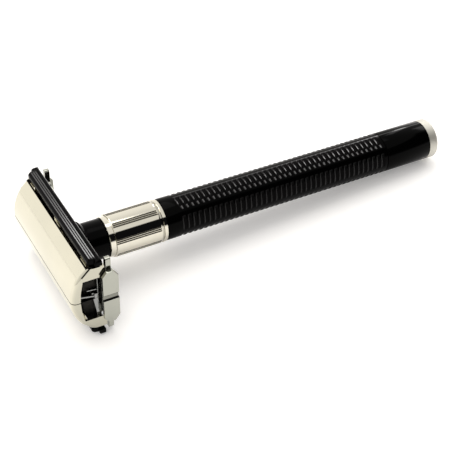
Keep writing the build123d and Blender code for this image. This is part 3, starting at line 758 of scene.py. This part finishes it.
def make_end_plate(node, name, end):
    low, high = extent(node)
    front = low.x / MM
    back = high.x / MM
    top = high.z / MM
    channel = CHANNEL_HALF + CHANNEL_SIDE
    stations = [-top, -top + 0.08, -LOWER_CUT[0], -UPPER_CUT[0], -6.2]
    stations += [-channel - 0.12, -channel, -CHANNEL_HALF]
    stations += [-across for across in reversed(stations)]
    rings = []
    for across in stations:
        reach = abs(across)
        dip = min(max((channel - reach) / CHANNEL_SIDE, 0), 1)
        lower = front + max(0, reach - LOWER_CUT[0]) * LOWER_CUT[1]
        upper = back - max(0, reach - UPPER_CUT[0]) * UPPER_CUT[1] - CHANNEL_PINCH * dip
        face = PLATE_OUTER - CHANNEL_DEPTH * dip - (PLATE_EDGE if reach > top - 0.04 else 0)
        edge = face - PLATE_EDGE
        corner = face - PLATE_CORNER
        ring = [(lower, PLATE_INNER), (lower, edge), (lower + PLATE_CORNER, corner)]
        ring += [(lower + PLATE_EDGE, face), (upper - PLATE_EDGE, face)]
        ring += [(upper - PLATE_CORNER, corner), (upper, edge), (upper, PLATE_INNER)]
        rings.append([(at, end * along, across) for at, along in ring])
    solids = [loft(rings)]
    for side in (-1, 1):
        near, far = (side * across for across in FOLD_ACROSS)
        fold = [(FOLD_AT[0], near), (FOLD_AT[0], far), (FOLD_AT[1], far), (FOLD_AT[1], near)]
        solids.append(prism(fold, *(end * along for along in FOLD_ALONG)))
    points, faces = joined(solids)
    darkened = [CHANNEL_DARKENING if abs(across) < CHANNEL_HALF + 0.01 else 0 for at, along, across in points]
    # painted shade: a darker copy of the nickel
    piece(name, in_mm(points), faces, node, sharp_degrees=30, marks=("darkened", darkened),
          look="plate_shaded")


# ---- base frame, in mm, and neck -----------------------------------------------------------------

FRAME_QUARTER = [(21.35, 0), (21.35, 5.0), (20.2, 5.0), (20.2, 6.6), (20.9, 7.2), (20.9, 10.85),
                 (20.7, 11.2), (20.35, 11.35), (19.75, 11.35), (19.5, 11.2), (19.4, 10.85),
                 (19.4, 8.4), (18.6, 6.6), (16.0, 5.6), (8.5, 5.3)]
FRAME_FRONT = 9.4
FRAME_BACK = 10.8
FRAME_HOLES = ((0, 3.03), (4.15, 0.62), (-4.15, 0.62))     # across and radius: inner tube, two pins
NECK_RADIUS = 5.34 * MM
NECK_BORE = 4.8 * MM
LIP_RADIUS = 6.2 * MM
LIP_LENGTH = 0.35 * MM
FLARE = 0.85 * MM           # length and rise of the cone between the lip and the neck
FLARE_FROM = 0.45 * MM


def make_frame_plate():
    """Plate with an ear at each corner, and holes for the inner tube and the guard's pins."""
    half = FRAME_QUARTER + [(-along, across) for along, across in reversed(FRAME_QUARTER)]
    loops = [half + [(along, -across) for along, across in reversed(half[1:-1])]]
    loops += [disc(0, across, r, 40) for across, r in FRAME_HOLES]
    flat = []
    edges = []
    for loop in loops:
        start = len(flat)
        flat += [Vector(point) for point in loop]
        edges += [(start + i, start + (i + 1) % len(loop)) for i in range(len(loop))]
    triangles = delaunay_2d_cdt(flat, edges, [], 1, 1e-5)[2]

    def in_metal(triangle):
        middle = sum((flat[i] for i in triangle), Vector((0, 0))) / 3
        return all((middle - Vector((0, across))).length > r for across, r in FRAME_HOLES)

    count = len(flat)
    points = [(at, *point) for at in (FRAME_FRONT, FRAME_BACK) for point in flat]
    faces = [tuple(i + shift for i in t) for t in triangles if in_metal(t) for shift in (0, count)]
    faces += [(i, j, j + count, i + count) for i, j in edges]
    # painted shade: a darker copy of the nickel
    obj = piece("frame_plate", in_mm(points), faces, "base_frame", sharp_degrees=30,
                look="plate_shaded")
    soften(obj, 0.2)


def make_neck():
    low, high = extent("neck")
    outline = [(low.x, NECK_BORE), (low.x, LIP_RADIUS), (low.x + LIP_LENGTH, LIP_RADIUS)]
    for degrees_round in range(0, 90, 10):
        share = sin(radians(degrees_round))
        outline.append((low.x + FLARE_FROM + FLARE * share, NECK_RADIUS + FLARE * (1 - share)))
    outline += [(low.x + (1.6 + 0.5 * k) * MM, NECK_RADIUS) for k in range(9)]
    outline += [(high.x - 0.1 * MM, NECK_RADIUS), (high.x, NECK_RADIUS - 0.1 * MM), (high.x, NECK_BORE)]
    lathe("neck_collar", outline, "neck")


make_sleeve()
make_knob()
make_dial()
make_guard()
make_lifter()
make_end_plate("end_plate_near", "channel_plate_near", -1)
make_end_plate("end_plate_far", "channel_plate_far", 1)
make_frame_plate()
make_neck()

# ---- carried-over CAD nodes ----------------------------------------------------------------------

SOFT_EDGES = {"door_upper": 0.22, "door_lower": 0.22, "blade_platform": 0.08, "knob_cap": 0.05}
LOOKS = {**SLOTS, "blade_platform": "inner_chrome_shaded"}     # chrome at its outer ends only, painted shade inside the head


def finish_cad_nodes():
    """Materials for the CAD nodes, and softened edges on those that show."""
    for name, obj in frame["nodes"].items():
        obj.data.materials.clear()
        obj.data.materials.append(MATERIALS[LOOKS[name]])
        smooth(obj.data, 28)
        if name in SOFT_EDGES:
            soften(obj, SOFT_EDGES[name])


finish_cad_nodes()

# ---- floor, light and camera ---------------------------------------------------------------------

AIM = Vector((-0.0115, -0.0077, 0.008))
CAMERA_AZIMUTH = -26.75
CAMERA_ELEVATION = 40.19
CAMERA_ROLL = 2.24
CAMERA_DISTANCE = 0.305
LENS = 90.46
SENSOR_WIDTH = 36

STUDIO = (1.0, 0.985, 0.955)
UNLIT = (0.006, 0.006, 0.007)
WINDOW = (1.35, 1.32, 1.27)
STUDIO_STRENGTH = 0.95
WINDOW_AZIMUTH = -150
DARK_AZIMUTH = 22           # middle of the dark part, and how far it reaches to each side
DARK_HALF_WIDTH = 66
DARK_FROM = 3               # elevations between which it lies
DARK_TO = 43
WARM = (1.0, 0.985, 0.96)   # the lamps' colours
PALE = (1.0, 0.99, 0.97)


def looking_back(azimuth, elevation):
    """Unit vector from the object to a viewer at that azimuth and elevation."""
    a = radians(azimuth)
    e = radians(elevation)
    return Vector((sin(a) * cos(e), -cos(a) * cos(e), sin(e)))


def make_camera():
    data = bpy.data.cameras.new("camera")
    data.lens = LENS
    data.sensor_width = SENSOR_WIDTH
    data.clip_start = 0.01
    camera = bpy.data.objects.new("camera", data)
    bpy.context.scene.collection.objects.link(camera)
    back = looking_back(CAMERA_AZIMUTH, CAMERA_ELEVATION)
    turn = back.to_track_quat("Z", "Y").to_matrix().to_4x4()
    camera.matrix_world = Matrix.Translation(AIM + CAMERA_DISTANCE * back) @ turn @ Matrix.Rotation(
        radians(-CAMERA_ROLL), 4, "Z")
    bpy.context.scene.camera = camera


def make_floor():
    half = 1.5
    mesh = bpy.data.meshes.new("floor")
    corners = [(-half, -half, 0), (half, -half, 0), (half, half, 0), (-half, half, 0)]
    mesh.from_pydata(corners, [], [(0, 1, 2, 3)])
    mesh.materials.append(floor_paint())
    obj = bpy.data.objects.new("floor", mesh)
    bpy.context.scene.collection.objects.link(obj)


def make_area(name, azimuth, elevation, size, power, color):
    """Rectangular lamp, a metre from the middle of the object and turned to it."""
    data = bpy.data.lights.new(name, "AREA")
    data.shape = "RECTANGLE"
    data.size = size[0]
    data.size_y = size[1]
    data.energy = power
    data.color = color
    obj = bpy.data.objects.new(name, data)
    bpy.context.scene.collection.objects.link(obj)
    place = looking_back(azimuth, elevation)
    obj.matrix_world = Matrix.Translation(place) @ place.to_track_quat("Z", "Y").to_matrix().to_4x4()


def make_world():
    """Pale studio with a brighter window behind, and the dark of the unlit room by the camera."""
    world = bpy.data.worlds.new("studio")
    bpy.context.scene.world = world
    n = Nodes(world, "Generated", "Background")
    height = n.vector("DOT_PRODUCT", n.place, (0, 0, 1))
    level = n.vector("NORMALIZE", n.vector("MULTIPLY", n.place, (1, 1, 0)))

    def step(value, start, stop):
        return n.ramp(value, 0, 1, start, stop, "SMOOTHSTEP")

    above = step(height, sin(radians(DARK_FROM - 2)), sin(radians(DARK_FROM + 3)))
    below = step(height, sin(radians(DARK_TO + 2)), sin(radians(DARK_TO - 2)))
    toward = n.vector("DOT_PRODUCT", level, looking_back(DARK_AZIMUTH, 0))
    beside = step(toward, cos(radians(DARK_HALF_WIDTH + 5)), cos(radians(DARK_HALF_WIDTH - 5)))
    dark = n.math("MULTIPLY", n.math("MULTIPLY", above, below), beside)
    window = step(n.vector("DOT_PRODUCT", level, looking_back(WINDOW_AZIMUTH, 0)), 0.2, 0.8)
    n.put("Color", n.blend(dark, n.blend(window, STUDIO, WINDOW), UNLIT))
    n.put("Strength", STUDIO_STRENGTH)


make_camera()
make_floor()
make_world()
make_area("soft_box", -165, 72, (0.8, 0.8), 3.4, WARM)
make_area("side_window", 109, 28, (0.35, 0.25), 1.3, PALE)
make_area("back_strip", 140, 33, (0.12, 0.52), 0.9, PALE)
bpy.context.scene.view_settings.view_transform = "Standard"
